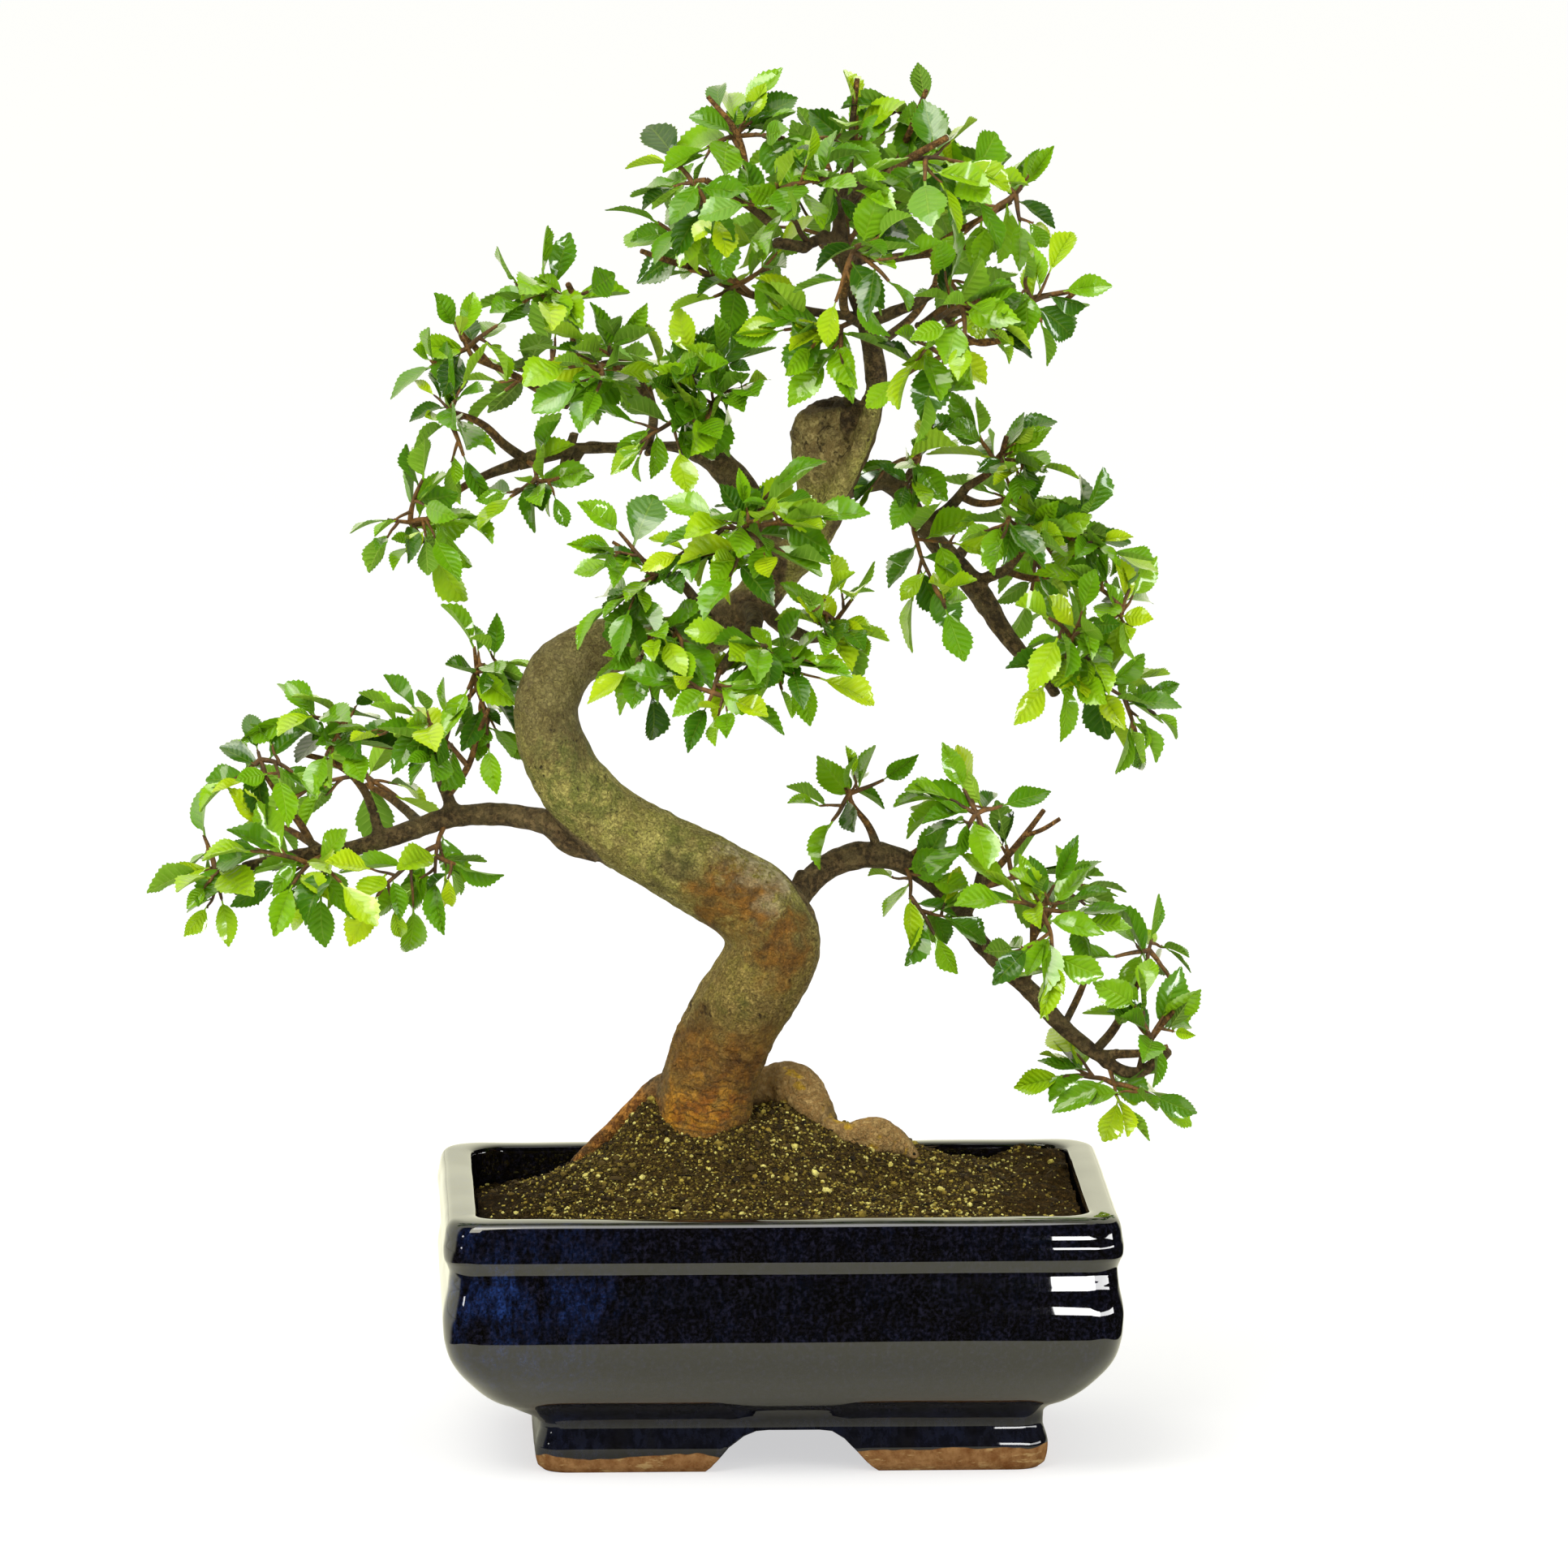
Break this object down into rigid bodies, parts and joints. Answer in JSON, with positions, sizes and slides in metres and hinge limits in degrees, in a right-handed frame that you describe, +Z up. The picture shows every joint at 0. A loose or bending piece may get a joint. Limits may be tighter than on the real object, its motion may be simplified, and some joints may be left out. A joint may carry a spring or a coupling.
{
  "type": "bonsai tree in a pot",
  "caption": "S-curved informal upright privet-style bonsai with layered leafy pads, in a rectangular glazed pot with an arched foot ring.",
  "frame": {"origin": "on the resting plane, under the middle of the whole part's bounding box", "axes": "+Z up; -Y towards the viewer, the side of the picture; +X to the viewer's right"},
  "size_m": [0.3128, 0.1498, 0.4111],
  "materials": {
    "glaze": "gloss",
    "soil": "matte",
    "drain_mesh": "matte",
    "bark": "matte",
    "leaf": "satin"
  },
  "bodies": {
    "root": {"drain_mesh_1": "drain_mesh", "drain_mesh_2": "drain_mesh", "pot": "glaze", "soil": "soil", "spray_centre_01": "leaf", "spray_centre_02": "leaf", "spray_centre_03": "leaf", "spray_centre_04": "leaf", "spray_centre_05": "leaf", "spray_centre_06": "leaf", "spray_crown_01": "leaf", "spray_crown_02": "leaf", "spray_crown_03": "leaf", "spray_crown_04": "leaf", "spray_crown_05": "leaf", "spray_crown_06": "leaf", "spray_crown_07": "leaf", "spray_crown_08": "leaf", "spray_crown_09": "leaf", "spray_crown_10": "leaf", "spray_crown_11": "leaf", "spray_crown_12": "leaf", "spray_crown_13": "leaf", "spray_crown_14": "leaf", "spray_crown_15": "leaf", "spray_lower_left_01": "leaf", "spray_lower_left_02": "leaf", "spray_lower_left_03": "leaf", "spray_lower_left_04": "leaf", "spray_lower_left_05": "leaf", "spray_lower_left_06": "leaf", "spray_lower_left_07": "leaf", "spray_lower_left_08": "leaf", "spray_lower_right_01": "leaf", "spray_lower_right_02": "leaf", "spray_lower_right_03": "leaf", "spray_lower_right_04": "leaf", "spray_lower_right_05": "leaf", "spray_lower_right_06": "leaf", "spray_lower_right_07": "leaf", "spray_lower_right_08": "leaf", "spray_right_01": "leaf", "spray_right_02": "leaf", "spray_right_03": "leaf", "spray_right_04": "leaf", "spray_right_05": "leaf", "spray_right_06": "leaf", "spray_right_07": "leaf", "spray_right_08": "leaf", "spray_right_09": "leaf", "spray_upper_left_01": "leaf", "spray_upper_left_02": "leaf", "spray_upper_left_03": "leaf", "spray_upper_left_04": "leaf", "spray_upper_left_05": "leaf", "spray_upper_left_06": "leaf", "spray_upper_left_07": "leaf", "spray_upper_left_08": "leaf", "spray_upper_left_09": "leaf", "trunk": "bark"}
  },
  "joints": []
}
